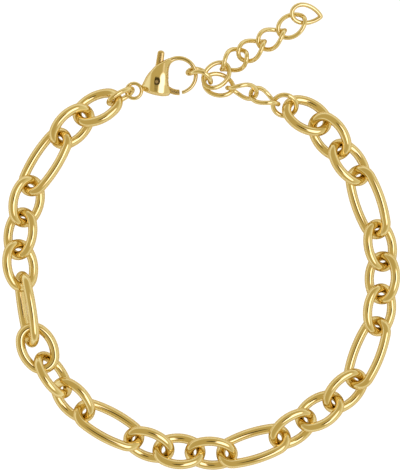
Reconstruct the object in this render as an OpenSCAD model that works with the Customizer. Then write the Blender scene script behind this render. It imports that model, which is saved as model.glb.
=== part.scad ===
// Yellow gold link bracelet lying flat as a closed loop. All lengths are in millimetres.
// Oval wire links lean to alternate sides and pass through one another. A lobster claw with a
// thumb lever closes the loop. Its eye carries a jump link and the main chain, and its hook holds
// a fine extension chain, whose free tail is laid outward past the hook.
// The origin is the middle of the loop on the surface it lies on. +Z is up and +Y points to the
// clasp. Every link is placed by rule: the joints sit on a nearly round loop whose radius is
// solved so that the chain closes exactly.

/* [Main links] */
// Wire diameter of the main links
wire = 1.5; // [1.3:0.05:1.6]
// Outer length of a short link
short_length = 8.5; // [8.2:0.1:9.5]
// Outer length of a long link
long_length = 12.3; // [11.5:0.1:13.5]
// Outer width of a main link
link_width = 6.4; // [6.3:0.1:7]

/* [Jump link] */
// Wire diameter of the jump link
jump_wire = 0.8; // [0.7:0.05:0.8]
// Outer length of the jump link
jump_length = 5.2; // [5:0.1:6]
// Outer width of the jump link
jump_width = 3.6; // [3.5:0.1:4]

/* [Extension chain] */
// Wire diameter of the extension links
ext_wire = 0.72; // [0.6:0.02:0.74]
// Outer length of an extension link
ext_length = 5.45; // [5.2:0.05:6]
// Outer width of an extension link
ext_width = 4.2; // [4:0.1:4.6]
// Wire diameter of the round ring beside the main chain
ring_wire = 0.76; // [0.6:0.02:0.8]
// Outer diameter of that ring
ring_diameter = 4.5; // [4.4:0.1:5]

/* [Clasp] */
// Inside length of the clasp, from the eye's end to the hook's end
clasp_length = 10.6; // [10.4:0.1:12]
// Thickness of the claw's body at its middle
claw_thickness = 3; // [2.8:0.1:3.4]
// Thickness of the lever
lever_thickness = 0.9; // [0.7:0.05:1]
// Clearance between the lever and its slot, on each side
slot_gap = 0.1; // [0.06:0.02:0.16]

/* [Hidden] */

gold = "#d9b25c";
pale_gold = "#e3c478";

// Columns of the two chain tables
KIND = 0;      // which form of link
TILT_A = 1;    // roll about its own length at its first end, in degrees
TILT_B = 2;    // roll at its second end, the same unless the link is twisted
NOSE = 3;      // how far the second end is raised, in degrees
LIFT = 4;      // height above the surface in its own wire diameters
PLAY = 5;      // slack at its first joint in its own wire diameters
SHARE = 6;     // distance of that joint from the loop's middle, as a share of the solved radius
HEADING = 6;   // in the tail's table, the compass heading instead, in degrees from +X

// The closed loop, anticlockwise from the hook: the clasp, then every link back to the hook.
// Tilts read off the photograph, with a positive one raising the inner side of the link.
LOOP = [
    ["clasp",   0,   0,   0, 0.00, 0.70, 1.046],
    ["jump",  -70, -70,  18, 0.15, 1.05, 1.030],
    ["short",  36,  36,   0, 0.00, 0.30, 1.025],
    ["short", -36, -36,   0, 0.00, 0.25, 1.045],
    ["long",   36,  36,   0, 0.00, 0.20, 1.035],
    ["short", -36, -36,   0, 0.00, 0.25, 1.025],
    ["short",  35,  35,   0, 0.00, 0.15, 1.000],
    ["short", -36, -36,   0, 0.15, 0.25, 0.995],
    ["long",   68,  68,   2, 0.00, 0.25, 0.965],
    ["short",  -2,  -2,  -2, 1.35, 0.60, 0.985],
    ["short", -60, -60,   0, 0.00, 0.40, 0.985],
    ["short",  38,  38,   0, 0.00, 0.25, 0.990],
    ["long",  -36, -36,   0, 0.00, 0.25, 1.000],
    ["short",  36,  36,   0, 0.00, 0.20, 0.990],
    ["short", -36, -36,   0, 0.00, 0.35, 1.005],
    ["short",  35,  35,   0, 0.00, 0.25, 0.995],
    ["long",  -35, -35,   0, 0.00, 0.30, 1.015],
    ["short",  36,  36,   0, 0.00, 0.35, 1.010],
    ["short", -37, -37,   0, 0.00, 0.25, 0.995],
    ["short",  34,  34,   0, 0.00, 0.20, 1.020],
    ["long",  -38, -38,   0, 0.00, 0.15, 1.035],
    ["short",  36,  36,   0, 0.00, 0.15, 1.005],
    ["short", -36, -36,   0, 0.00, 0.25, 0.985],
    ["short",  36,  36,   0, 0.00, 0.20, 0.985],
    ["long",  -38, -38,   0, 0.00, 0.15, 0.975],
    ["short",  38,  38,   0, 0.00, 0.20, 0.990],
    ["short", -32, -32,   1, 0.10, 0.20, 0.985],
    ["short",  28,  28,  -2, 0.00, 0.35, 1.015],
    ["ring",  -30, -30,   2, 0.80, 0.40, 1.000],
    ["ext",    94,  22,   0, 0.00, 0.15, 0.980],
    ["ext",   -30, -98,  -3, 0.00, 0.20, 0.990],
    ["ext",    26,   2,  -2, 1.25, 0.25, 0.985],
    ["bent",  106,  59, -12, 0.00, 0.55, 1.010],
];
// The free tail, outward from the last link on the hook. Its own end ring is the last row.
TAIL = [
    ["ext",  -12,  -1,  -9, 2.20, 0.40, 45],
    ["ext",   90, -48,   0, 0.15, 0.50, 35],
    ["ext",   28, -82,   0, 0.05, 0.75, 31],
    ["ext",   24, -84,   0, 0.00, 0.50, 29],
    ["ext",   10, -36,  -4, 0.00, 0.40, 35],
    ["drop",  12,  14, -10, 0.10, 0.30, -8],
];
loop_start = 92.5;              // direction of the hook's joint from the middle of the loop
tail_start = [0.05, -0.35];     // the tail's first joint from that between the last two loop links
drop_hang = [0.15, 0.17];       // the end ring's middle from its joint, as shares of its size
drop_point = 0.6;               // how pointed the end ring is at its outer end
bend = 53;                      // the link on the hook is bent outward, each half of it by this angle
first_main = 2;                 // row of the first main link
first_ring = 28;                // row of the round ring

wire_sides = 6;                 // a twisted link is a mesh with this many sides to its wire
path_steps = 16;                // and this many steps round it

// Chain forms by kind: outer length, outer width and wire diameter
function form(kind) =
    kind == "long" ? [long_length, link_width, wire] :
    kind == "short" ? [short_length, link_width, wire] :
    kind == "jump" ? [jump_length, jump_width, jump_wire] :
    kind == "ring" ? [ring_diameter, ring_diameter, ring_wire] :
    kind == "clasp" ? [clasp_length, 0, wire] :
    [ext_length, ext_width, ext_wire];
function thickness(kind) = form(kind)[2];
function half_length(kind) = (form(kind)[0] - form(kind)[2]) / 2;
function half_width(kind) = (form(kind)[1] - form(kind)[2]) / 2;
function play(row) = row[PLAY] * thickness(row[KIND]);
// Radius of the bent link, and how far apart the ends of a link's centre line are
bend_radius = half_length("bent") / (bend * PI / 180);
function chord(kind) = kind == "bent" ? 2 * bend_radius * sin(bend) : 2 * half_length(kind);

// The loop: each row spans from its own joint to the next one
count = len(LOOP);
function next(i) = (i + 1) % count;
function span(i) =
    LOOP[i][KIND] == "clasp" ? clasp_length :
    chord(LOOP[i][KIND]) - thickness(LOOP[i][KIND]) - (play(LOOP[i]) + play(LOOP[next(i)])) / 2;
spans = [for (i = [0 : count - 1]) span(i)];
ones = [for (i = [0 : count - 1]) 1];
function turn(i, radius) =
    let (a = radius * LOOP[i][SHARE], b = radius * LOOP[next(i)][SHARE])
    acos((a * a + b * b - spans[i] * spans[i]) / (2 * a * b));
function full_turn(radius) = [for (i = [0 : count - 1]) turn(i, radius)] * ones;
function solve_radius(low, high, steps) =
    let (middle = (low + high) / 2)
    steps == 0 ? middle :
    full_turn(middle) > 360 ? solve_radius(middle, high, steps - 1) :
    solve_radius(low, middle, steps - 1);
around = spans * ones;
loop_radius = solve_radius(0.9 * around / (2 * PI), 1.2 * around / (2 * PI), 40);
bearings = [
    for (i = 0, angle = loop_start; i < count; angle = angle + turn(i, loop_radius), i = i + 1) angle
];
joints = [
    for (i = [0 : count - 1])
        loop_radius * LOOP[i][SHARE] * [cos(bearings[i]), sin(bearings[i])]
];
function heading(from, to) = atan2(to[1] - from[1], to[0] - from[0]);
function loop_heading(i) = heading(joints[i], joints[next(i)]);
function loop_middle(i) =
    (joints[i] + joints[next(i)]) / 2
    + (play(LOOP[next(i)]) - play(LOOP[i])) / 4 * [cos(loop_heading(i)), sin(loop_heading(i))];

// The tail: each joint follows from the one before it
function tail_play(i) = i < len(TAIL) ? play(TAIL[i]) : 0;
function tail_span(i) = 2 * half_length("ext") - ext_wire - (tail_play(i) + tail_play(i + 1)) / 2;
function tail_way(i) = [cos(TAIL[i][HEADING]), sin(TAIL[i][HEADING])];
first_tail_joint = joints[count - 1] + tail_start;
tail_joints = [
    for (i = 0, p = first_tail_joint; i < len(TAIL); p = p + tail_span(i) * tail_way(i), i = i + 1) p
];
function tail_middle(i) =
    TAIL[i][KIND] == "drop" ? tail_joints[i] + [drop_hang[0] * ext_length, drop_hang[1] * ext_width] :
    tail_joints[i] + (tail_span(i) / 2 + (tail_play(i + 1) - tail_play(i)) / 4) * tail_way(i);

// How far a closed link's wire reaches from its middle in a direction of its own plane
function reach(kind, x, y) =
    (half_length(kind) - half_width(kind)) * abs(x) + half_width(kind) * norm([x, y]);

// Wire bent into a closed link in the XY plane: two round ends and two straight sides
module closed_link(kind) {
    diameter = form(kind)[2];
    straight = half_length(kind) - half_width(kind);
    for (end = [0, 180])
        rotate([0, 0, end]) {
            translate([straight, 0, 0])
                bent_wire(half_width(kind), diameter, -90, 90);
            translate([0, half_width(kind), 0])
                rotate([0, 90, 0])
                    cylinder(d = diameter, h = 2 * straight, center = true);
        }
}
module bent_wire(radius, diameter, from, to) {
    rotate([0, 0, from])
        rotate_extrude(angle = to - from)
            translate([radius, 0])
                circle(d = diameter);
}

// A link of the loop that isn't twisted, laid in its place
module flat_link(i) {
    row = LOOP[i];
    kind = row[KIND];
    low = reach(kind, sin(row[NOSE]), sin(row[TILT_A]) * cos(row[NOSE]));
    middle = loop_middle(i);
    translate([middle[0], middle[1], low + thickness(kind) * (0.5 + row[LIFT])])
        rotate([0, 0, loop_heading(i)])
            rotate([0, -row[NOSE], 0])
                rotate([row[TILT_A], 0, 0])
                    if (kind == "ring") bent_wire(half_width(kind), ring_wire, 0, 360);
                    else closed_link(kind);
}

// A twisted link: an oval whose plane rolls evenly from one end to the other
function twisted_point(row, t) =
    let (
        a = half_length("ext"),
        b = half_width("ext"),
        u = a * cos(t),
        v = b * sin(t) * (row[KIND] == "drop" ? pow(sin(t / 2), drop_point) : 1),
        roll = row[TILT_A] + (row[TILT_B] - row[TILT_A]) * (u + a) / (2 * a),
        p = row[KIND] == "bent" ? bent_place(u, v * cos(roll)) : [u, v * cos(roll)],
        z = v * sin(roll)
    )
    [p[0] * cos(row[NOSE]) - z * sin(row[NOSE]), p[1], p[0] * sin(row[NOSE]) + z * cos(row[NOSE])];
function bent_place(u, y) =
    let (angle = bend * u / half_length("bent"))
    [(bend_radius - y) * sin(angle), bend_radius * cos(bend) - (bend_radius - y) * cos(angle)];
function unit(v) = v / norm(v);
function twisted_path(row) = [for (k = [0 : path_steps - 1]) twisted_point(row, k * 360 / path_steps)];
// Rings of points round the wire, square to the path
function wire_rings(path, r) = [
    for (k = [0 : len(path) - 1])
        let (
            n = len(path),
            along = unit(path[(k + 1) % n] - path[(k + n - 1) % n]),
            out = unit(path[k] - (path[k] * along) * along),
            up = cross(out, along)
        )
        for (s = [0 : wire_sides - 1])
            let (angle = (s + 0.5) * 360 / wire_sides)
            path[k] + r * (cos(angle) * out + sin(angle) * up)
];
function wire_faces(n) = [
    for (k = [0 : n - 1], s = [0 : wire_sides - 1])
        let (
            a = k * wire_sides + s,
            b = k * wire_sides + (s + 1) % wire_sides,
            c = ((k + 1) % n) * wire_sides + (s + 1) % wire_sides,
            d = ((k + 1) % n) * wire_sides + s
        )
        for (face = [[a, b, c], [a, c, d]]) face
];
module twisted_link(row, middle, way) {
    path = twisted_path(row);
    low = min([for (p = path) p[2]]);
    translate([middle[0], middle[1], ext_wire * (0.5 + row[LIFT]) - low])
        rotate([0, 0, way])
            polyhedron(points = wire_rings(path, ext_wire / 2), faces = wire_faces(path_steps));
}

module main_link(number) color(gold) flat_link(first_main + number - 1);
module jump_link() color(gold) flat_link(1);
module ext_ring() color(pale_gold) flat_link(first_ring);
module ext_link(number) {
    i = first_ring + number;
    color(pale_gold) twisted_link(LOOP[i], loop_middle(i), loop_heading(i));
}
module tail_link(number) {
    i = number - 1;
    color(pale_gold) twisted_link(TAIL[i], tail_middle(i), TAIL[i][HEADING]);
}

// The clasp in its own frame: the origin is the inner end of the eye's hole, +X runs to the hook and
// z = 0 is its middle plane. Its points and radii are for a clasp 10.6 long inside, times clasp_scale.
clasp_scale = clasp_length / 10.6;
clasp_lean = -1.7;                                    // the joint on the hook is a little off its middle
clasp_heading = heading(joints[1], joints[0]) + clasp_lean;
eye = clasp_scale * [0.92, 0, 0.92];                  // middle of the eye and the radius of its hole
eye_bar = [0.56 * clasp_scale, 0.7];                  // width and height of the eye's bar
tail_lobe = clasp_scale * [3.3, 0.15, 1.15];          // round lobes that the body is made of
back_lobe = clasp_scale * [4.6, 1.5, 1.2];
neck_lobe = clasp_scale * [6.45, 2.9, 0.95];
belly_lobe = clasp_scale * [5.7, -1.3, 0.9];
crown = clasp_scale * [5.6, 0.6];                     // thickest place of the body
dome_reach = 3.4 * clasp_scale;                       // from there to the body's far ends
dome_drop = 0.3 * claw_thickness;                     // how much lower each face is there
dome_radius = (dome_reach * dome_reach + dome_drop * dome_drop) / (2 * dome_drop);
ring = clasp_scale * [8.4, 0.8, 2.73];                // the hook and the gate lie on one round
hook_bar = [0.7 * clasp_scale, 0.85];                 // kept lower than the lever's slot
hook_tip = -110;                                      // angles on that round, before the tips are cut
hook_root = 130;
gate_start = -140;
gate_end = -80;
gate_width = 0.9 * clasp_scale;
gate_reach = 4 * clasp_scale;                         // from the pivot to the gate's end, an arc round it
tip_gap = 0.1;                                        // between that end and the hook's tip
pivot = clasp_scale * [4.8, 0.5];
hub_radius = 0.8 * clasp_scale;
thumb_tip = clasp_scale * [6.46, 4.78, 0.58];
gate_root = [
    ring[0] + ring[2] * cos(gate_start), ring[1] + ring[2] * sin(gate_start), 0.33 * clasp_scale
];
gate_room = clasp_scale * [6.45, -1.0, 0.84];         // round space in the body for the gate's root
side_room = 0.12;
pin_radius = 0.3;
pin_fit = 0.02;
pin_run = 0.05;
lever_swing = 20;

module in_clasp() {
    translate([joints[1][0], joints[1][1], claw_thickness / 2])
        rotate([0, 0, clasp_heading])
            children();
}
function grown(lobe, by) = [lobe[0], lobe[1], lobe[2] + by];
module lobe_disc(lobe) {
    translate([lobe[0], lobe[1]])
        circle(r = lobe[2]);
}
// Straight flanks from one round lobe to another, kept just inside both
module flanks(p, q) {
    lean = acos((p[2] - q[2]) / norm([q[0] - p[0], q[1] - p[1]]));
    way = heading(p, q);
    polygon([
        for (corner = [[p, way + lean], [q, way + lean], [q, way - lean], [p, way - lean]])
            let (lobe = corner[0])
            [lobe[0] + 0.98 * lobe[2] * cos(corner[1]), lobe[1] + 0.98 * lobe[2] * sin(corner[1])]
    ]);
}
module bar_profile(size) {
    intersection() {
        square(size, center = true);
        circle(r = 0.475 * norm(size));
    }
}
module round_bar(middle, radius, size, from, to) {
    translate([middle[0], middle[1], 0])
        rotate([0, 0, from])
            rotate_extrude(angle = to - from)
                translate([radius, 0])
                    bar_profile(size);
}
module body_outline() {
    for (lobe = [tail_lobe, back_lobe, neck_lobe, belly_lobe])
        lobe_disc(lobe);
    flanks(tail_lobe, back_lobe);
    flanks(back_lobe, neck_lobe);
    flanks(tail_lobe, belly_lobe);
    flanks(neck_lobe, belly_lobe);
    flanks(back_lobe, belly_lobe);
}
module domed_body() {
    intersection() {
        linear_extrude(claw_thickness, center = true)
            body_outline();
        dome(1);
        dome(-1);
    }
}
module dome(side) {
    translate([crown[0], crown[1], side * (claw_thickness / 2 - dome_radius)])
        sphere(r = dome_radius);
}
// The slot that the lever swings in, cut at five places of its swing
module lever_slot() {
    hub = [0, 0, hub_radius + side_room];
    translate([pivot[0], pivot[1], 0])
        linear_extrude(lever_thickness + 2 * slot_gap, center = true)
            for (swing = [0 : lever_swing / 4 : lever_swing])
                rotate([0, 0, swing]) {
                    lobe_disc(hub);
                    lobe_disc(from_pivot(gate_room));
                    flanks(hub, from_pivot(gate_room));
                    flanks(hub, grown(from_pivot(thumb_tip), side_room));
                }
}
function from_pivot(lobe) = [lobe[0] - pivot[0], lobe[1] - pivot[1], lobe[2]];
module pivot_bore(radius, height) {
    translate([pivot[0], pivot[1], 0])
        cylinder(r = radius, h = height, center = true);
}
// The hook, its tip cut so that the gate's end swings past it
module hook() {
    difference() {
        round_bar(ring, ring[2], hook_bar, hook_tip, hook_root);
        intersection() {
            pivot_bore(gate_reach + tip_gap, 2 * claw_thickness);
            translate([pivot[0], pivot[1] - 1.2 * gate_reach, 0])
                cube(2 * [gate_reach, gate_reach, gate_reach], center = true);
        }
    }
}
module clasp_body() {
    color(gold)
        in_clasp()
            difference() {
                union() {
                    round_bar(eye, eye[2] + eye_bar[0] / 2, eye_bar, 0, 360);
                    domed_body();
                    hook();
                }
                lever_slot();
                pivot_bore(pin_radius + pin_fit, 2 * claw_thickness);
            }
}
module clasp_lever() {
    hub = [pivot[0], pivot[1], hub_radius];
    color(gold)
        in_clasp()
            difference() {
                union() {
                    linear_extrude(lever_thickness, center = true) {
                        for (lobe = [hub, thumb_tip, gate_root])
                            lobe_disc(lobe);
                        flanks(hub, thumb_tip);
                        flanks(hub, gate_root);
                    }
                    intersection() {
                        round_bar(ring, ring[2], [gate_width, lever_thickness], gate_start, gate_end);
                        pivot_bore(gate_reach, 2 * lever_thickness);
                    }
                }
                pivot_bore(pin_radius + pin_run, 2 * lever_thickness);
            }
}
module clasp_pin() {
    far = norm([pivot[0] - crown[0], pivot[1] - crown[1]]);
    sunk = dome_radius - sqrt(dome_radius * dome_radius - far * far);
    color(pale_gold)
        in_clasp()
            pivot_bore(pin_radius, claw_thickness - 2 * sunk - 0.04);
}

main_link(1);  // link_01_short
main_link(2);  // link_02_short
main_link(3);  // link_03_long
main_link(4);  // link_04_short
main_link(5);  // link_05_short
main_link(6);  // link_06_short
main_link(7);  // link_07_long
main_link(8);  // link_08_short
main_link(9);  // link_09_short
main_link(10);  // link_10_short
main_link(11);  // link_11_long
main_link(12);  // link_12_short
main_link(13);  // link_13_short
main_link(14);  // link_14_short
main_link(15);  // link_15_long
main_link(16);  // link_16_short
main_link(17);  // link_17_short
main_link(18);  // link_18_short
main_link(19);  // link_19_long
main_link(20);  // link_20_short
main_link(21);  // link_21_short
main_link(22);  // link_22_short
main_link(23);  // link_23_long
main_link(24);  // link_24_short
main_link(25);  // link_25_short
main_link(26);  // link_26_short
jump_link();
clasp_body();
clasp_lever();
clasp_pin();
ext_ring();
ext_link(1);  // ext_link_01
ext_link(2);  // ext_link_02
ext_link(3);  // ext_link_03
ext_link(4);  // ext_link_04
tail_link(1);  // tail_link_01
tail_link(2);  // tail_link_02
tail_link(3);  // tail_link_03
tail_link(4);  // tail_link_04
tail_link(5);  // tail_link_05
tail_link(6);  // tail_end_ring
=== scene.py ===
"""Dresses the gold link bracelet: smooth wire links, lobster claw, gold, table, sky and camera."""

from math import acos, atan2, copysign, cos, degrees, pi, radians, sin

import bmesh
import bpy
from mathutils import Matrix, Vector


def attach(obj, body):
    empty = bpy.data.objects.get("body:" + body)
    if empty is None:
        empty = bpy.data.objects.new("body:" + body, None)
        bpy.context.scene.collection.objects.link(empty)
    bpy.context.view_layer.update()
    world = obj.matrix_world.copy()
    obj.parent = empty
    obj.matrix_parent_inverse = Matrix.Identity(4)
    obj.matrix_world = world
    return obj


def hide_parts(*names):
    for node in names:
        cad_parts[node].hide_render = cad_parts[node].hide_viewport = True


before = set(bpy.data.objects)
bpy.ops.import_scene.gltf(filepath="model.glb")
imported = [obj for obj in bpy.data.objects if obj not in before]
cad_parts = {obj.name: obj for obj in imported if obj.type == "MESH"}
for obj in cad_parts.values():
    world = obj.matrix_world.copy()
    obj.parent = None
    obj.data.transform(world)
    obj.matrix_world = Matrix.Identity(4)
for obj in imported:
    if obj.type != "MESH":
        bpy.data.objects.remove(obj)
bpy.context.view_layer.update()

# Lengths are in millimetres and angles in degrees wherever nothing else is said
MM = 0.001

# Driving dimensions, the same as the part's
WIRE = 1.5
SHORT_LENGTH = 8.5
LONG_LENGTH = 12.3
LINK_WIDTH = 6.4
JUMP_WIRE = 0.8
JUMP_LENGTH = 5.2
JUMP_WIDTH = 3.6
EXT_WIRE = 0.72
EXT_LENGTH = 5.45
EXT_WIDTH = 4.2
RING_WIRE = 0.76
RING_DIAMETER = 4.5
CLASP_LENGTH = 10.6
CLAW_THICKNESS = 3.0
LEVER_SWING = 20

# Columns of the two lists of links: the kind, how far the link is rolled about its length at its
# first end and at its second end, its pitch, its height above the table in wire thicknesses, the
# play at the joint before it as a share of its wire, and how far that joint is from the middle of
# the loop as a share of the loop's radius
KIND, TILT_A, TILT_B, NOSE, LIFT, PLAY, SHARE = range(7)
# In the tail the last column is the link's own direction instead
HEADING = SHARE

# The loop, anticlockwise from the claw
LOOP = [
    ("clasp",   0,   0,   0, 0.00, 0.70, 1.046),
    ("jump",  -70, -70,  18, 0.15, 1.05, 1.030),
    ("short",  36,  36,   0, 0.00, 0.30, 1.025),
    ("short", -36, -36,   0, 0.00, 0.25, 1.045),
    ("long",   36,  36,   0, 0.00, 0.20, 1.035),
    ("short", -36, -36,   0, 0.00, 0.25, 1.025),
    ("short",  35,  35,   0, 0.00, 0.15, 1.000),
    ("short", -36, -36,   0, 0.15, 0.25, 0.995),
    ("long",   68,  68,   2, 0.00, 0.25, 0.965),
    ("short",  -2,  -2,  -2, 1.35, 0.60, 0.985),
    ("short", -60, -60,   0, 0.00, 0.40, 0.985),
    ("short",  38,  38,   0, 0.00, 0.25, 0.990),
    ("long",  -36, -36,   0, 0.00, 0.25, 1.000),
    ("short",  36,  36,   0, 0.00, 0.20, 0.990),
    ("short", -36, -36,   0, 0.00, 0.35, 1.005),
    ("short",  35,  35,   0, 0.00, 0.25, 0.995),
    ("long",  -35, -35,   0, 0.00, 0.30, 1.015),
    ("short",  36,  36,   0, 0.00, 0.35, 1.010),
    ("short", -37, -37,   0, 0.00, 0.25, 0.995),
    ("short",  34,  34,   0, 0.00, 0.20, 1.020),
    ("long",  -38, -38,   0, 0.00, 0.15, 1.035),
    ("short",  36,  36,   0, 0.00, 0.15, 1.005),
    ("short", -36, -36,   0, 0.00, 0.25, 0.985),
    ("short",  36,  36,   0, 0.00, 0.20, 0.985),
    ("long",  -38, -38,   0, 0.00, 0.15, 0.975),
    ("short",  38,  38,   0, 0.00, 0.20, 0.990),
    ("short", -32, -32,   1, 0.10, 0.20, 0.985),
    ("short",  28,  28,  -2, 0.00, 0.35, 1.015),
    ("ring",  -30, -30,   2, 0.80, 0.40, 1.000),
    ("ext",    94,  22,   0, 0.00, 0.15, 0.980),
    ("ext",   -30, -98,  -3, 0.00, 0.20, 0.990),
    ("ext",    26,   2,  -2, 1.25, 0.25, 0.985),
    ("bent",  106,  59, -12, 0.00, 0.55, 1.010),
]
# The free tail, outward from the last link on the hook
TAIL = [
    ("ext",  -12,  -1,  -9, 2.20, 0.40, 45),
    ("ext",   90, -48,   0, 0.15, 0.50, 35),
    ("ext",   28, -82,   0, 0.05, 0.75, 31),
    ("ext",   24, -84,   0, 0.00, 0.50, 29),
    ("ext",   10, -36,  -4, 0.00, 0.40, 35),
    ("drop",  12,  14, -10, 0.10, 0.30, -8),
]
LOOP_START = 92.5               # direction of the hook's joint from the middle of the loop
# The loop's radius is sought between these shares of that of a circle with the same way round
RADIUS_RANGE = (0.9, 1.2)
HALVINGS = 40                   # of that range
TAIL_START = (0.05, -0.35)      # the tail's first joint from that between the last two loop links
DROP_HANG = (0.15, 0.17)        # the end ring's middle from its joint, as shares of its size
DROP_POINT = 0.6                # how pointed the end ring is at its outer end
BEND = 53                       # the link on the hook is bent outward, each half by this angle

# Outer length, outer width and wire of each kind of link. A claw has no wire of its own, and its
# play is a share of the main links' wire.
FORMS = {
    "short": (SHORT_LENGTH, LINK_WIDTH, WIRE),
    "long": (LONG_LENGTH, LINK_WIDTH, WIRE),
    "jump": (JUMP_LENGTH, JUMP_WIDTH, JUMP_WIRE),
    "ring": (RING_DIAMETER, RING_DIAMETER, RING_WIRE),
    "ext": (EXT_LENGTH, EXT_WIDTH, EXT_WIRE),
    "bent": (EXT_LENGTH, EXT_WIDTH, EXT_WIRE),
    "drop": (EXT_LENGTH, EXT_WIDTH, EXT_WIRE),
    "clasp": (CLASP_LENGTH, 0.0, WIRE),
}
MAIN_KINDS = ("short", "long")
THIN_KINDS = ("ring", "ext", "bent", "drop")
END_RADIUS = 2.1                # largest radius of the ends of an oval's centre line
END_INSET = 0.25                # that radius is at least this much less than half the line's width
END_POINTS = 0.32               # share of an oval's points on each of its ends
MAIN_MESH = (120, 32)           # steps along a main link's wire, and round it
THIN_MESH = (88, 20)

# The claw in its own frame: the origin is the inner end of the eye's hole, +X runs to the hook and
# z = 0 is its middle plane
CLASP_LEAN = -1.7               # the joint on the hook is a little off its middle
CLAW_OUTLINE = [
    (2.00, 0.35), (2.42, 0.70), (2.78, 1.14), (3.35, 1.80), (4.20, 2.52), (5.10, 3.10),
    (6.05, 3.50), (6.95, 3.72), (7.60, 3.80), (7.95, 3.65), (8.00, 3.35), (7.72, 2.95),
    (7.35, 2.48), (7.04, 1.80), (6.78, 0.75), (6.63, -0.30), (6.68, -1.00), (6.66, -1.60),
    (6.28, -1.98), (5.30, -1.92), (4.05, -1.44), (2.90, -0.77), (2.35, -0.30), (2.00, -0.20),
]
OUTLINE_STEPS = 10              # between two of its points
CLAW_RIM = 0.42                 # radius of the body's rounded edge
CROWN = Vector((4.6, 0.84))     # its thickest place
CROWN_LINE = 71                 # direction of its ridge there
# How each face drops from there to the hook, the eye, the back and the belly: factor, power, and the
# distance after which it runs on straight
FALL_HOOK = (0.05, 3, 1.6)
FALL_EYE = (0.45, 2, 0.92)
FALL_BACK = (0.07, 2, 1.35)
FALL_BELLY = (0.08, 2, 0.8)
EYE = Vector((0.92, 0.0))       # middle of the eye that holds the jump link
EYE_RADIUS = 1.2                # from there to the middle of its bar
EYE_BAR = (0.28, 0.33)          # half width and half height
EYE_STEPS = 72
ROUND = Vector((8.4, 0.8))      # middle of the round that the hook and the gate lie on
HOOK_OUTSIDE = 3.08             # their outer radii
GATE_OUTSIDE = 3.18
# Angle on that round, half width and half height
HOOK = [
    (126, 0.47, 0.42), (112, 0.45, 0.43), (95, 0.38, 0.42), (80, 0.35, 0.41), (0, 0.33, 0.40),
    (-60, 0.30, 0.38), (-92, 0.28, 0.36),
]
LEVER_HALF = 0.45               # half the lever's thickness
GATE = [(-146, 0.45, LEVER_HALF), (-100, 0.45, LEVER_HALF)]
PIVOT = Vector((4.8, 0.5))
HUB_RADIUS = 0.8
HUB_RIM = 0.12                  # radius of its rounded edge
THUMB_TIP = Vector((6.50, 4.86))
THUMB_WIDTHS = (0.66, 0.56)     # half width at the pivot and at the tip
GATE_ROOT = Vector((6.31, -0.95))
ROOT_WIDTHS = (0.55, 0.42)      # half width at the pivot and at the gate
SLOT_HALF = 0.55                # half the slot's height
HUB_ROOM = 0.92                 # radius of the slot round the hub
THUMB_ROOM = (0.70, 6)          # half width and reach of its arms
GATE_ROOM = (0.84, 4)
GATE_ROOM_MIDDLE = Vector((6.45, -1.0))
RIVET_RADIUS = 0.3
RIVET_RIM = 0.02
RIVET_PROUD = 0.004             # above the claw's face
RIVET_HOLE = 0.305              # radius of its hole in the claw
THROUGH = 2                     # half the height of a hole right through the claw
HOOK_CAP = 0.14                 # how far the rounded ends of the bars stand out
THUMB_CAP = 0.46
ROOT_CAP = 0.2
GATE_CAP = 0.04
CAP_STEPS = 6
LEAST_SLANT = 0.35              # where the way in slants, a rounded edge widens by at most 1 / this
WELD = 0.00005                  # points as near as this are one
SHARP_EDGE = 38                 # faces that meet at more than this keep a crisp edge

# How the gold varies over a piece. A pattern is its scale, in cells to the metre, and its detail.
EDGE_TINT = (0.86, 0.78, 0.55)  # colour at a grazing angle
DRIFT = (260, 3)                # pattern of the colour
DRIFT_RANGE = (0.3, 0.7)        # values of that pattern between which the colour changes
DRIFT_SHADE = (0.95, 0.92, 0.85)  # how much of its red, green and blue the darkest gold keeps
MARKS = (900, 5)                # pattern of the gloss
MARKS_RANGE = (0.7, 1.4)        # shares of a gold's roughness
SCRATCHES = (2400, 2)           # pattern of the bump
SCRATCH_DEPTH = 0.00002         # metres

# The camera sees one table, white by its own glow, and the gold mirrors another, which the sky lights
# more than its own glow does
TABLE_HALF = 0.6                # metres
TABLE_ROUGHNESS = 0.9
SEEN_HEIGHT = -0.0001           # metres, so that the two don't meet
SEEN_ALBEDO = 0.1
SEEN_GLOW = 1.0
MIRRORED_HEIGHT = 0.0
MIRRORED_ALBEDO = 0.95
MIRRORED_GLOW = 0.10

# The sky's colours. Two edges are where one colour starts to turn into the next and where that ends,
# as angles from straight up, from the right or from the middle of a light.
LOW_SKY = (0.95, 0.94, 0.88)
LEFT_SKY = (0.56, 0.45, 0.22)
RIGHT_SKY = (0.74, 0.67, 0.46)
LEFT_EDGES = (82, 56)
RIGHT_EDGES = (84, 56)
RIGHT_AZIMUTH = -8
SIDE_EDGES = (80, 35)
PANEL_AZIMUTHS = (-38, -12, 14)  # the panel is three round lights that run together
PANEL_ELEVATION = 65
PANEL_EDGES = (18, 9)
PANEL_LIGHT = (2.0, 1.85, 2.1)
DARK_EDGES = (13, 9)            # a dark spot straight above, where the photographer's lens was
DARK_SPOT = (0.06, 0.045, 0.018)
MIX_COLOURS = (6, 7)            # a Mix node's colour inputs, after those for numbers and vectors
MIX_RESULT = 2                  # and its colour output

# The camera looks straight down from far away. Pixels are the photograph's.
PIXEL = 0.16                    # width of one on the table
PHOTO_SIZE = (400, 473)
LOOP_MIDDLE_PIXEL = (201, 268)
SENSOR = 36                     # height of the camera's sensor
FOCAL_LENGTH = 200


def thickness(kind):
    """The wire's diameter."""
    return FORMS[kind][2]


def half_length(kind):
    """From a link's middle to the middle of its wire, along the link."""
    return (FORMS[kind][0] - thickness(kind)) / 2


def half_width(kind):
    """The same across the link."""
    return (FORMS[kind][1] - thickness(kind)) / 2


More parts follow.
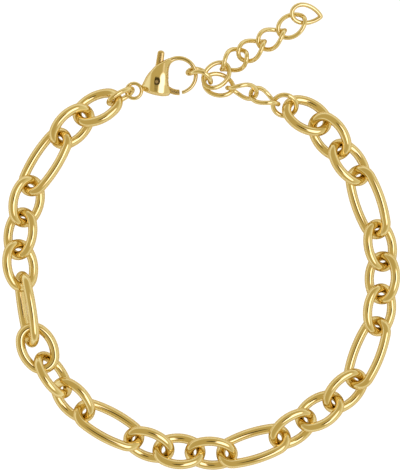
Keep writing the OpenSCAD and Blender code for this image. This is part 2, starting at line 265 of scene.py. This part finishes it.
def play(row):
    """The gap between two wires at the joint before a link."""
    return row[PLAY] * thickness(row[KIND])


BEND_RADIUS = half_length("bent") / radians(BEND)


def chord(kind):
    """How far apart the ends of a link's centre line are."""
    if kind == "bent":
        return 2 * BEND_RADIUS * sin(radians(BEND))
    return 2 * half_length(kind)


def spans():
    """How far it is from each joint of the loop to the next one."""
    out = []
    for i, row in enumerate(LOOP):
        kind = row[KIND]
        after = LOOP[(i + 1) % len(LOOP)]
        if kind == "clasp":
            out.append(CLASP_LENGTH)
        else:
            out.append(chord(kind) - thickness(kind) - (play(row) + play(after)) / 2)
    return out


def turns(radius):
    """The angle that each span takes up, seen from the middle of a loop of this radius."""
    out = []
    for i, length in enumerate(spans()):
        a = radius * LOOP[i][SHARE]
        b = radius * LOOP[(i + 1) % len(LOOP)][SHARE]
        out.append(degrees(acos((a * a + b * b - length * length) / (2 * a * b))))
    return out


def solve_radius():
    """The radius at which the loop closes."""
    low, high = (share * sum(spans()) / (2 * pi) for share in RADIUS_RANGE)
    for _ in range(HALVINGS):
        middle = (low + high) / 2
        if sum(turns(middle)) > 360:
            low = middle
        else:
            high = middle
    return (low + high) / 2


def unit(angle):
    """The level direction at an angle in radians."""
    return Vector((cos(angle), sin(angle)))


def loop_joints():
    """The joints of the loop. Each one lies before the link with the same number."""
    radius = solve_radius()
    angle = LOOP_START
    out = []
    for row, turn in zip(LOOP, turns(radius)):
        out.append(unit(radians(angle)) * radius * row[SHARE])
        angle += turn
    return out


JOINTS = loop_joints()


def heading(start, end):
    """The direction from one point to another, in radians."""
    return atan2(end[1] - start[1], end[0] - start[0])


def loop_place(i):
    """The middle and the direction of a link of the loop."""
    j = (i + 1) % len(LOOP)
    way = heading(JOINTS[i], JOINTS[j])
    shift = (play(LOOP[j]) - play(LOOP[i])) / 4
    return (JOINTS[i] + JOINTS[j]) / 2 + unit(way) * shift, way


def tail_places():
    """The middle and the direction of each link of the tail. Each joint follows from the last."""
    out = []
    joint = JOINTS[-1] + Vector(TAIL_START)
    for i, row in enumerate(TAIL):
        way = radians(row[HEADING])
        after = play(TAIL[i + 1]) if i + 1 < len(TAIL) else 0
        length = chord("ext") - EXT_WIRE - (play(row) + after) / 2
        if row[KIND] == "drop":
            middle = joint + Vector((DROP_HANG[0] * EXT_LENGTH, DROP_HANG[1] * EXT_WIDTH))
        else:
            middle = joint + unit(way) * (length / 2 + (after - play(row)) / 4)
        out.append((middle, way))
        joint = joint + unit(way) * length
    return out


def ellipse_outline(kind, steps):
    """The middle of a thin link's wire, in the link's own plane. The end ring has a point."""
    a, b = half_length(kind), half_width(kind)
    out = []
    for k in range(steps):
        t = 2 * pi * k / steps
        point = sin(t / 2) ** DROP_POINT if kind == "drop" else 1
        out.append((a * cos(t), b * sin(t) * point))
    return out


def oval_outline(kind, steps):
    """The same for a link whose oval is two small arcs at its ends and two large ones between."""
    a, b = half_length(kind), half_width(kind)
    r = min(END_RADIUS, b - END_INSET)
    side = ((a - r) ** 2 + b * b - r * r) / (2 * (b - r))
    split = atan2(side - b, a - r)
    ends = int(steps * END_POINTS)
    sides = steps // 2 - ends
    out = []
    for sign in (1, -1):
        for k in range(ends):
            t = -split + 2 * split * k / ends
            out.append((sign * (a - r + r * cos(t)), sign * r * sin(t)))
        for k in range(sides):
            t = split + (pi - 2 * split) * k / sides
            out.append((sign * side * cos(t), sign * (b - side + side * sin(t))))
    return out


def link_path(row, middle, way, steps):
    """The wire's centre line where the link lies, and the link's middle."""
    kind = row[KIND]
    a = half_length(kind)
    nose = radians(row[NOSE])
    outline = ellipse_outline if kind in THIN_KINDS else oval_outline
    points = []
    for u, v in outline(kind, steps):
        roll = radians(row[TILT_A] + (row[TILT_B] - row[TILT_A]) * (u + a) / (2 * a))
        y, z = v * cos(roll), v * sin(roll)
        if kind == "bent":
            angle = u / BEND_RADIUS
            radius = BEND_RADIUS - y
            u = radius * sin(angle)
            y = BEND_RADIUS * cos(radians(BEND)) - radius * cos(angle)
        points.append(Vector((u * cos(nose) - z * sin(nose), y, u * sin(nose) + z * cos(nose))))
    raised = thickness(kind) * (0.5 + row[LIFT]) - min(p.z for p in points)
    placed = []
    for p in points:
        x = p.x * cos(way) - p.y * sin(way)
        y = p.x * sin(way) + p.y * cos(way)
        placed.append(Vector((x + middle.x, y + middle.y, p.z + raised)))
    return placed, Vector((middle.x, middle.y, raised))


def tube_faces(rings, sides, closed):
    """The faces of a tube whose points go ring by ring."""
    faces = []
    for k in range(rings if closed else rings - 1):
        m = (k + 1) % rings
        for s in range(sides):
            t = (s + 1) % sides
            faces.append((k * sides + s, k * sides + t, m * sides + t, m * sides + s))
    return faces


def add_object(name, data):
    """A new object of the scene from a mesh or a camera."""
    obj = bpy.data.objects.new(name, data)
    bpy.context.scene.collection.objects.link(obj)
    return obj


def wire_object(name, path, centre, radius, sides):
    """A closed wire of round section swept along a loop."""
    verts = []
    for k, p in enumerate(path):
        along = (path[(k + 1) % len(path)] - path[k - 1]).normalized()
        out = p - centre
        out = (out - along * out.dot(along)).normalized()
        up = out.cross(along)
        for s in range(sides):
            angle = 2 * pi * s / sides
            verts.append((p + out * radius * cos(angle) + up * radius * sin(angle)) * MM)
    mesh = bpy.data.meshes.new(name)
    mesh.from_pydata(verts, [], tube_faces(len(path), sides, closed=True))
    mesh.polygons.foreach_set("use_smooth", [True] * len(mesh.polygons))
    mesh.update()
    return add_object(name, mesh)


def pattern(tree, where, scale, detail):
    """A noise pattern that is fixed to the object."""
    noise = tree.nodes.new("ShaderNodeTexNoise")
    noise.inputs["Scale"].default_value = scale
    noise.inputs["Detail"].default_value = detail
    tree.links.new(where.outputs["Object"], noise.inputs["Vector"])
    return noise.outputs["Fac"]


def gold(name, base, roughness, scratch):
    """Polished gold: slight colour drift, handling marks in the gloss and fine scratches."""
    mat = bpy.data.materials.new(name)
    mat.use_nodes = True
    tree = mat.node_tree
    shader = tree.nodes["Principled BSDF"]
    shader.inputs["Metallic"].default_value = 1.0
    shader.inputs["Specular Tint"].default_value = (*EDGE_TINT, 1)
    where = tree.nodes.new("ShaderNodeTexCoord")

    tint = tree.nodes.new("ShaderNodeValToRGB")
    low, high = tint.color_ramp.elements
    low.position, high.position = DRIFT_RANGE
    low.color = (*(value * shade for value, shade in zip(base, DRIFT_SHADE)), 1)
    high.color = (*base, 1)
    tree.links.new(pattern(tree, where, *DRIFT), tint.inputs["Fac"])
    tree.links.new(tint.outputs["Color"], shader.inputs["Base Color"])

    gloss = tree.nodes.new("ShaderNodeMapRange")
    gloss.inputs["To Min"].default_value = roughness * MARKS_RANGE[0]
    gloss.inputs["To Max"].default_value = roughness * MARKS_RANGE[1]
    tree.links.new(pattern(tree, where, *MARKS), gloss.inputs["Value"])
    tree.links.new(gloss.outputs["Result"], shader.inputs["Roughness"])

    bump = tree.nodes.new("ShaderNodeBump")
    bump.inputs["Strength"].default_value = scratch
    bump.inputs["Distance"].default_value = SCRATCH_DEPTH
    tree.links.new(pattern(tree, where, *SCRATCHES), bump.inputs["Height"])
    tree.links.new(bump.outputs["Normal"], shader.inputs["Normal"])
    return mat


CHAIN_GOLD = gold("chain_gold", (0.88, 0.735, 0.37), roughness=0.06, scratch=0.05)
CLASP_GOLD = gold("clasp_gold", (0.90, 0.76, 0.40), roughness=0.06, scratch=0.05)
EXT_GOLD = gold("extension_gold", (0.90, 0.765, 0.40), roughness=0.06, scratch=0.05)
# The lever's gold is a darker copy of the claw's gold: painted shade, with a rougher gloss
SHADED_LEVER_GOLD = gold("shaded_lever_gold", (0.78, 0.60, 0.26), roughness=0.26, scratch=0.3)
# The gate's gold is a still darker copy: painted shade on the gate and the rivet head, with a rougher
# gloss
SHADED_GATE_GOLD = gold("shaded_gate_gold", (0.62, 0.47, 0.22), roughness=0.32, scratch=0.5)


def dress(obj, body, slot, node, *materials):
    """Gives a piece its gold, hangs it on what it rides on and hides the node it stands for."""
    obj.data.materials.clear()
    for material in materials:
        obj.data.materials.append(material)
    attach(obj, body)
    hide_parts(node)


def make_link(node, row, middle, way):
    """One link, in its node's place and in the gold of its own chain."""
    kind = row[KIND]
    steps, sides = MAIN_MESH if kind in MAIN_KINDS else THIN_MESH
    path, centre = link_path(row, middle, way, steps)
    wire = wire_object(node + "_wire", path, centre, thickness(kind) / 2, sides)
    if kind in THIN_KINDS:
        dress(wire, "chain", "extension_gold", node, EXT_GOLD)
    else:
        dress(wire, "chain", "chain_gold", node, CHAIN_GOLD)


def make_loop():
    """All links of the loop. The main links are numbered in order, and so are the extension's."""
    main = 0
    extension = 0
    for i, row in enumerate(LOOP):
        kind = row[KIND]
        if kind == "clasp":
            continue
        if kind in MAIN_KINDS:
            main += 1
            node = f"link_{main:02d}_{kind}"
        elif kind == "jump":
            node = "jump_link"
        elif kind == "ring":
            node = "ext_ring"
        else:
            extension += 1
            node = f"ext_link_{extension:02d}"
        make_link(node, row, *loop_place(i))


def make_tail():
    """The links of the free tail, and its end ring."""
    for number, (row, place) in enumerate(zip(TAIL, tail_places()), start=1):
        node = "tail_end_ring" if row[KIND] == "drop" else f"tail_link_{number:02d}"
        make_link(node, row, *place)


def smooth_closed(points, steps):
    """A smooth closed curve through a few points."""
    n = len(points)
    out = []
    for i in range(n):
        a, b, c, d = (Vector(points[(i + k) % n]) for k in (-1, 0, 1, 2))
        slope = c - a
        bow = 2 * a - 5 * b + 4 * c - d
        twist = 3 * b - a - 3 * c + d
        for s in range(steps):
            t = s / steps
            out.append((2 * b + slope * t + bow * t * t + twist * t ** 3) / 2)
    return out


def fall(distance, factor, power, reach):
    """How far a face has dropped: it curves away and then runs straight."""
    near = min(distance, reach)
    return factor * near ** power + factor * power * reach ** (power - 1) * (distance - near)


def claw_height(x, y):
    """Half the thickness of the claw's body: steep towards the eye, broad towards the hook."""
    ridge = radians(CROWN_LINE)
    dx, dy = x - CROWN.x, y - CROWN.y
    across = dx * sin(ridge) - dy * cos(ridge)
    along = dx * cos(ridge) + dy * sin(ridge)
    side = fall(across, *FALL_HOOK) if across > 0 else fall(-across, *FALL_EYE)
    end = fall(along, *FALL_BACK) if along > 0 else fall(-along, *FALL_BELLY)
    return CLAW_THICKNESS / 2 - side - end


def cushion(outline, centre, rim, height, rim_rings=8, rings=20):
    """A closed cushion, alike above and below, with an edge rounded to the radius rim.

    The height is a function of x and y that gives half the thickness there.
    """
    n = len(outline)
    rows = [[] for _ in range(rim_rings + rings)]
    for i, p in enumerate(outline):
        edge = (outline[(i + 1) % n] - outline[i - 1]).normalized()
        ray = centre - p
        slant = max(abs(edge.x * ray.y - edge.y * ray.x) / ray.length, LEAST_SLANT)
        inner = rim / (ray.length * slant)
        for k, row in enumerate(rows):
            if k < rim_rings:
                bend = pi / 2 * k / rim_rings
                part, lift = inner * (1 - cos(bend)), sin(bend)
            else:
                part, lift = inner + (1 - inner) * (k - rim_rings) / rings, 1
            q = p + ray * part
            row.append((q.x, q.y, lift * height(q.x, q.y)))
    verts, faces = list(rows[0]), []
    top = height(centre.x, centre.y)
    for side in (1, -1):
        start = len(verts)
        for row in rows[1:]:
            verts += [(x, y, side * z) for x, y, z in row]
        last = len(verts) - n
        tip = len(verts)
        verts.append((centre.x, centre.y, side * top))
        for i in range(n):
            j = (i + 1) % n
            faces.append((i, j, start + j, start + i))
            for k in range(len(rows) - 2):
                a = start + k * n
                faces.append((a + i, a + j, a + n + j, a + n + i))
            faces.append((last + i, last + j, tip))
    return verts, faces


def rounded_ends(stations, cap):
    """The stations of a bar with more at both ends, which round it off over the length of a cap."""
    out = list(stations)
    for end, side in ((0, -1), (-1, 1)):
        middle, way, width, height = stations[end]
        extra = []
        for k in range(1, CAP_STEPS + 1):
            bend = pi / 2 * k / CAP_STEPS
            place = middle + unit(way) * side * cap * sin(bend)
            extra.append((place, way, width * cos(bend), height * cos(bend)))
        out = extra[::-1] + out if side < 0 else out + extra
    return out


def squared(value, power):
    """A sine or cosine for a section that is squarer the higher the power, and round at 2."""
    return copysign(abs(value) ** (2 / power), value)


def bar(stations, sides, power, cap=0.0):
    """A level bar through stations of middle, direction, half width and half height.

    A bar without a cap closes to a ring.
    """
    if cap:
        stations = rounded_ends(stations, cap)
    verts = []
    for middle, way, width, height in stations:
        for s in range(sides):
            turn = 2 * pi * s / sides
            across = width * squared(cos(turn), power)
            up = height * squared(sin(turn), power)
            verts.append((middle.x - sin(way) * across, middle.y + cos(way) * across, up))
    return verts, tube_faces(len(stations), sides, closed=not cap)


def arc(outside, profile, steps=72):
    """Stations along the claw's round, from a few rows of angle, half width and half height."""
    first = profile[0][0]
    sweep = profile[-1][0] - first
    out = []
    for k in range(steps + 1):
        angle = first + sweep * k / steps
        a, b = next(pair for pair in zip(profile, profile[1:]) if (angle - pair[1][0]) * sweep <= 0)
        part = (angle - a[0]) / (b[0] - a[0])
        width, height = (a[j] + (b[j] - a[j]) * part for j in (1, 2))
        middle = ROUND + unit(radians(angle)) * (outside - width)
        out.append((middle, radians(angle + 90), width, height))
    return out


def straight(start, end, widths, steps):
    """Stations of the lever along a straight line, from one half width to another."""
    way = heading(start, end)
    out = []
    for k in range(steps + 1):
        width = widths[0] + (widths[1] - widths[0]) * k / steps
        out.append((start.lerp(end, k / steps), way, width, LEVER_HALF))
    return out


def ring_stations():
    """Stations all round the eye."""
    out = []
    for k in range(EYE_STEPS):
        angle = 2 * pi * k / EYE_STEPS
        out.append((EYE + unit(angle) * EYE_RADIUS, angle + pi / 2, *EYE_BAR))
    return out


def prism(points, half):
    """A closed upright prism."""
    n = len(points)
    verts = [(x, y, z) for z in (-half, half) for x, y in points]
    faces = [tuple(range(n)), tuple(range(n, 2 * n))]
    faces += [(i, (i + 1) % n, n + (i + 1) % n, n + i) for i in range(n)]
    return verts, faces


def fan(middle, half, reach):
    """The room that an arm sweeps as the lever swings from the direction of a point."""
    start = heading(PIVOT, middle)
    end = start + radians(LEVER_SWING)
    near_start = PIVOT + Vector((sin(start), -cos(start))) * half
    near_end = PIVOT + Vector((-sin(end), cos(end))) * half
    return [near_start, near_start + unit(start) * reach, near_end + unit(end) * reach, near_end]


def disc(radius, steps=48):
    """A round outline about the pivot."""
    return [PIVOT + unit(2 * pi * k / steps) * radius for k in range(steps)]


def solid(name, shapes, second=None):
    """One object from closed shapes. The shape with the number second takes the second material."""
    mesh = bpy.data.meshes.new(name)
    work = bmesh.new()
    for number, (verts, faces) in enumerate(shapes):
        made = [work.verts.new(v) for v in verts]
        fresh = [work.faces.new([made[i] for i in face]) for face in faces]
        bmesh.ops.remove_doubles(work, verts=made, dist=WELD)
        for face in fresh:
            if face.is_valid:
                face.smooth = True
                face.material_index = 1 if number == second else 0
    bmesh.ops.recalc_face_normals(work, faces=work.faces[:])
    work.to_mesh(mesh)
    work.free()
    return add_object(name, mesh)


def cut(obj, shapes):
    """Takes shapes out of a solid and keeps the result."""
    tools = [solid("cutter", [shape]) for shape in shapes]
    for tool in tools:
        step = obj.modifiers.new("cut", "BOOLEAN")
        step.operation = "DIFFERENCE"
        step.solver = "EXACT"
        step.object = tool
    bpy.context.view_layer.update()
    result = obj.evaluated_get(bpy.context.evaluated_depsgraph_get())
    mesh = bpy.data.meshes.new_from_object(result)
    obj.modifiers.clear()
    obj.data = mesh
    for tool in tools:
        bpy.data.objects.remove(tool)


def join(obj, other):
    """Moves the other object's mesh into the first one."""
    work = bmesh.new()
    work.from_mesh(obj.data)
    work.from_mesh(other.data)
    work.to_mesh(obj.data)
    work.free()
    bpy.data.objects.remove(other)


def finish_clasp(obj, body, node, *materials):
    """Puts a piece of the clasp in its place, with crisp edges and even shading."""
    place = Matrix.Translation((JOINTS[1].x, JOINTS[1].y, CLAW_THICKNESS / 2))
    way = heading(JOINTS[1], JOINTS[0]) + radians(CLASP_LEAN)
    obj.data.transform(Matrix.Scale(MM, 4) @ (place @ Matrix.Rotation(way, 4, "Z")))
    obj.data.set_sharp_from_angle(angle=radians(SHARP_EDGE))
    even = obj.modifiers.new("even shading", "WEIGHTED_NORMAL")
    even.keep_sharp = True
    dress(obj, body, "clasp_gold", node, *materials)


def make_claw():
    """The domed body with the lever's slot, the eye and the tapered hook."""
    outline = smooth_closed(CLAW_OUTLINE, OUTLINE_STEPS)
    claw = solid("clasp_claw", [cushion(outline, CROWN, CLAW_RIM, claw_height)])
    cut(claw, [
        prism(disc(HUB_ROOM), SLOT_HALF),
        prism(fan(THUMB_TIP, *THUMB_ROOM), SLOT_HALF),
        prism(fan(GATE_ROOM_MIDDLE, *GATE_ROOM), SLOT_HALF),
        prism(disc(RIVET_HOLE), THROUGH),
    ])
    ends = solid("clasp_ends", [
        bar(ring_stations(), sides=24, power=2.0),
        bar(arc(HOOK_OUTSIDE, HOOK), sides=28, power=2.3, cap=HOOK_CAP),
    ])
    join(claw, ends)
    finish_clasp(claw, "chain", "clasp_body", CLASP_GOLD)


def make_lever():
    """The thumb piece, the gate and the arm between them, about one hub."""
    thumb = straight(PIVOT, THUMB_TIP, THUMB_WIDTHS, steps=24)
    root = straight(PIVOT, GATE_ROOT, ROOT_WIDTHS, steps=8)
    shapes = [
        bar(thumb, sides=32, power=3.0, cap=THUMB_CAP),
        bar(root, sides=24, power=4.0, cap=ROOT_CAP),
        cushion(disc(HUB_RADIUS), PIVOT, HUB_RIM, lambda x, y: LEVER_HALF, rings=4),
        bar(arc(GATE_OUTSIDE, GATE, steps=24), sides=32, power=4.5, cap=GATE_CAP),
    ]
    lever = solid("clasp_thumb_lever", shapes, second=len(shapes) - 1)
    # The lever takes the painted shade of its darker gold, and the gate a deeper painted shade
    finish_clasp(lever, "lever", "clasp_lever", SHADED_LEVER_GOLD, SHADED_GATE_GOLD)


def make_rivet():
    """The head of the pin, all but flush with both faces of the claw."""
    top = claw_height(PIVOT.x, PIVOT.y) + RIVET_PROUD
    head = cushion(disc(RIVET_RADIUS), PIVOT, RIVET_RIM, lambda x, y: top, rings=6)
    # The rivet head takes the gate's darker gold: painted shade
    finish_clasp(solid("clasp_rivet", [head]), "chain", "clasp_pin", SHADED_GATE_GOLD)


def table(name, height, albedo, glow):
    """A plain table top, with some light of its own."""
    a = TABLE_HALF
    corners = [(-a, -a, height), (a, -a, height), (a, a, height), (-a, a, height)]
    mesh = bpy.data.meshes.new(name)
    mesh.from_pydata(corners, [], [(0, 1, 2, 3)])
    mat = bpy.data.materials.new(name)
    mat.use_nodes = True
    shader = mat.node_tree.nodes["Principled BSDF"]
    shader.inputs["Base Color"].default_value = (albedo, albedo, albedo, 1)
    shader.inputs["Roughness"].default_value = TABLE_ROUGHNESS
    shader.inputs["Emission Color"].default_value = (1, 1, 1, 1)
    shader.inputs["Emission Strength"].default_value = glow
    mesh.materials.append(mat)
    obj = add_object(name, mesh)
    return obj


def make_tables():
    """The photograph's background is pure white, but its gold mirrors a greyer table."""
    seen = table("table_seen", SEEN_HEIGHT, SEEN_ALBEDO, SEEN_GLOW)
    seen.visible_glossy = False
    seen.visible_diffuse = False
    mirrored = table("table_mirrored", MIRRORED_HEIGHT, MIRRORED_ALBEDO, MIRRORED_GLOW)
    mirrored.visible_camera = False


def towards(azimuth, elevation):
    """A direction from its two angles."""
    az, el = radians(azimuth), radians(elevation)
    return Vector((cos(az) * cos(el), sin(az) * cos(el), sin(el)))


def closeness(tree, where, direction, edges):
    """How far the sky lies towards a direction: 0 at the first angle from it and 1 at the second."""
    dot = tree.nodes.new("ShaderNodeVectorMath")
    dot.operation = "DOT_PRODUCT"
    dot.inputs[1].default_value = direction
    tree.links.new(where.outputs["Generated"], dot.inputs[0])
    ease = tree.nodes.new("ShaderNodeMapRange")
    ease.interpolation_type = "SMOOTHSTEP"
    ease.inputs["From Min"].default_value = cos(radians(edges[0]))
    ease.inputs["From Max"].default_value = cos(radians(edges[1]))
    tree.links.new(dot.outputs["Value"], ease.inputs["Value"])
    return ease.outputs["Result"]


def mixed(tree, factor, below, above):
    """A colour between two others, each of them fixed or the result of a node."""
    mix = tree.nodes.new("ShaderNodeMix")
    mix.data_type = "RGBA"
    tree.links.new(factor, mix.inputs["Factor"])
    for index, value in zip(MIX_COLOURS, (below, above)):
        if isinstance(value, tuple):
            mix.inputs[index].default_value = (*value, 1)
        else:
            tree.links.new(value, mix.inputs[index])
    return mix.outputs[MIX_RESULT]


def make_sky():
    """A tent, white low down, warm and dimmer above, with a bright panel and a dark spot."""
    world = bpy.data.worlds.new("tent")
    bpy.context.scene.world = world
    world.use_nodes = True
    tree = world.node_tree
    where = tree.nodes.new("ShaderNodeTexCoord")
    up = (0, 0, 1)
    left = mixed(tree, closeness(tree, where, up, LEFT_EDGES), LOW_SKY, LEFT_SKY)
    right = mixed(tree, closeness(tree, where, up, RIGHT_EDGES), LOW_SKY, RIGHT_SKY)
    rightward = closeness(tree, where, towards(RIGHT_AZIMUTH, 0), SIDE_EDGES)
    sky = mixed(tree, rightward, left, right)
    for azimuth in PANEL_AZIMUTHS:
        panel = closeness(tree, where, towards(azimuth, PANEL_ELEVATION), PANEL_EDGES)
        sky = mixed(tree, panel, sky, PANEL_LIGHT)
    sky = mixed(tree, closeness(tree, where, up, DARK_EDGES), sky, DARK_SPOT)
    tree.links.new(sky, tree.nodes["Background"].inputs["Color"])
    tree.nodes["Background"].inputs["Strength"].default_value = 1.0


def make_camera():
    """Straight above, so that one pixel of the photograph is PIXEL on the table."""
    x = (PHOTO_SIZE[0] / 2 - LOOP_MIDDLE_PIXEL[0]) * PIXEL
    y = (LOOP_MIDDLE_PIXEL[1] - PHOTO_SIZE[1] / 2) * PIXEL
    frame_height = PHOTO_SIZE[1] * PIXEL * MM
    camera = bpy.data.cameras.new("camera")
    camera.sensor_fit = "VERTICAL"
    camera.sensor_height = SENSOR
    camera.lens = FOCAL_LENGTH
    view = add_object("camera", camera)
    distance = FOCAL_LENGTH / SENSOR * frame_height
    view.location = Vector((x, y, 0)) * MM + Vector((0, 0, distance))
    bpy.context.scene.camera = view
    bpy.context.scene.view_settings.view_transform = "Standard"


make_loop()
make_tail()
make_claw()
make_lever()
make_rivet()
make_tables()
make_sky()
make_camera()
